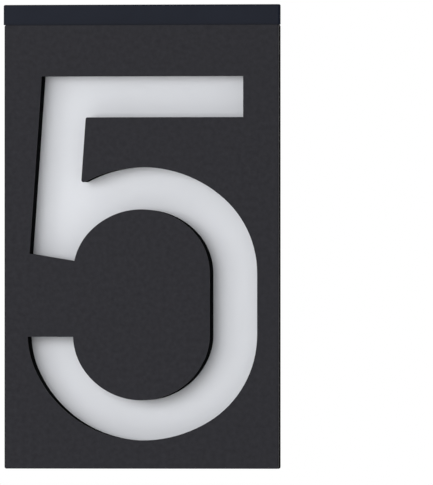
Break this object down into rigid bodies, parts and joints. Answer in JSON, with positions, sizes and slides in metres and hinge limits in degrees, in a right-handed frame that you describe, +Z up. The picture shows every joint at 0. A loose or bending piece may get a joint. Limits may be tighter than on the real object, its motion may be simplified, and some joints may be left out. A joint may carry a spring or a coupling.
{
  "type": "house number plaque",
  "caption": "Lit house number plaque with a cut-out numeral five over a set-back opal diffuser, a solar panel in its top cap and a tapered housing hung on keyholes.",
  "frame": {"origin": "on the wall, midway between the entry holes of the two keyholes", "axes": "-Y out of the face, +Y into the wall, +Z up, +X to the right of someone who looks at the face"},
  "size_m": [0.1112, 0.046, 0.184],
  "materials": {
    "panel_coat": "matte anthracite powder coat",
    "black_abs": "fine moulded texture",
    "cap_abs": "blue-black satin moulding",
    "opal_acrylic": "opal, softly frosted",
    "foam_rubber": "closed-cell foam",
    "seal_rubber": "moulded",
    "lead_pvc": "extruded insulation",
    "zinc_steel": "zinc plated",
    "nickel_steel": "nickel plated",
    "reflector_white": "matte white moulding",
    "board_white": "white solder mask",
    "board_green": "green solder mask",
    "board_black": "black laminate",
    "led_phosphor": "phosphor gel in a white cup",
    "cell_silicon": "dark blue silicon",
    "panel_resin": "clear cast resin",
    "chip_epoxy": "moulded epoxy",
    "ferrite": "ferrite drum",
    "knob_white": "moulded",
    "cell_sleeve": "plain green sleeve"
  },
  "bodies": {
    "plaque": {"face_plate": "panel_coat", "front_frame": "black_abs", "diffuser_seal": "foam_rubber", "diffuser": "opal_acrylic", "housing_seal": "foam_rubber", "rear_housing": "black_abs", "housing_screws": "zinc_steel", "reflector": "reflector_white", "reflector_screws": "zinc_steel", "led_boards": "board_white", "leds": "led_phosphor", "top_cap": "cap_abs", "cap_screws": "zinc_steel", "solar_board": "board_black", "solar_cells": "cell_silicon", "solar_cover": "panel_resin", "lead_grommet": "seal_rubber", "control_board": "board_green", "board_screws": "zinc_steel", "control_chip": "chip_epoxy", "power_coil": "ferrite", "switch_body": "nickel_steel", "battery": "cell_sleeve", "battery_contact": "nickel_steel", "battery_spring": "nickel_steel", "battery_cover": "black_abs", "battery_cover_seal": "seal_rubber", "battery_cover_screws": "zinc_steel", "solar_leads": "lead_pvc", "battery_leads": "lead_pvc", "led_leads": "lead_pvc"},
    "switch_slider": {"switch_slider": "knob_white"}
  },
  "joints": [
    {"name": "switch_slide", "type": "slide", "parent": "plaque", "child": "switch_slider", "axis": [1, 0, 0], "range_m": [0, 0.0025]}
  ]
}
